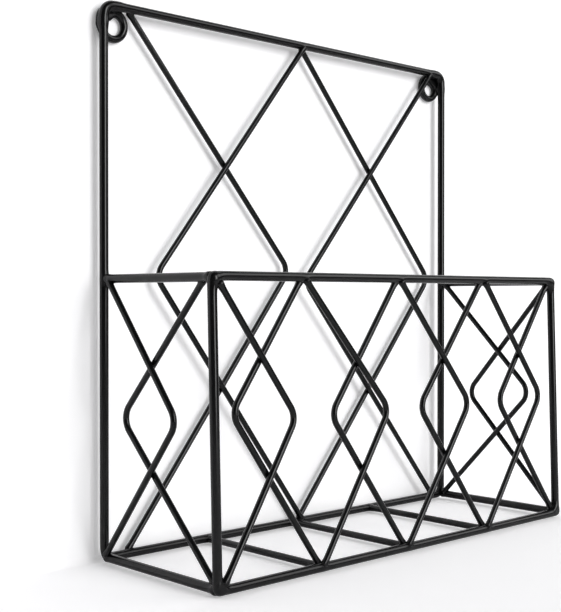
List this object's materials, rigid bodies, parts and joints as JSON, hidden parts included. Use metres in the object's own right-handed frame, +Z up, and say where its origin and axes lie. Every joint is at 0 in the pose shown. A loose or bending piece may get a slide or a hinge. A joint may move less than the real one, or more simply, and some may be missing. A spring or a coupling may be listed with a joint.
{
  "type": "wall magazine rack",
  "caption": "Open wire basket with a tall back frame and crossed lattice sides, hung on a wall by rings behind its top corners, to hold magazines and papers.",
  "frame": {"origin": "middle of the footprint, on the surface that the base can stand on", "axes": "+Z up, +Y towards the wall that the rack hangs on, +X to the right as seen from the front"},
  "size_m": [0.3158, 0.1134, 0.327],
  "materials": {
    "frame_wire": "satin black powder coat",
    "lattice_wire": "satin black powder coat"
  },
  "bodies": {
    "root": {"back_frame": "frame_wire", "front_frame": "frame_wire", "rim_rail_left": "frame_wire", "rim_rail_right": "frame_wire", "base_rail_left": "frame_wire", "base_rail_right": "frame_wire", "base_bar_1": "frame_wire", "base_bar_2": "frame_wire", "base_bar_3": "frame_wire", "front_lattice_wire_1": "lattice_wire", "front_lattice_wire_2": "lattice_wire", "front_lattice_wire_3": "lattice_wire", "front_lattice_wire_4": "lattice_wire", "front_lattice_wire_5": "lattice_wire", "front_lattice_wire_6": "lattice_wire", "front_lattice_wire_7": "lattice_wire", "front_lattice_wire_8": "lattice_wire", "back_lattice_wire_1": "lattice_wire", "back_lattice_wire_2": "lattice_wire", "back_lattice_wire_3": "lattice_wire", "back_lattice_wire_4": "lattice_wire", "left_lattice_wire_1": "lattice_wire", "left_lattice_wire_2": "lattice_wire", "right_lattice_wire_1": "lattice_wire", "right_lattice_wire_2": "lattice_wire", "hanging_eye_left": "frame_wire", "hanging_eye_right": "frame_wire"}
  },
  "joints": []
}
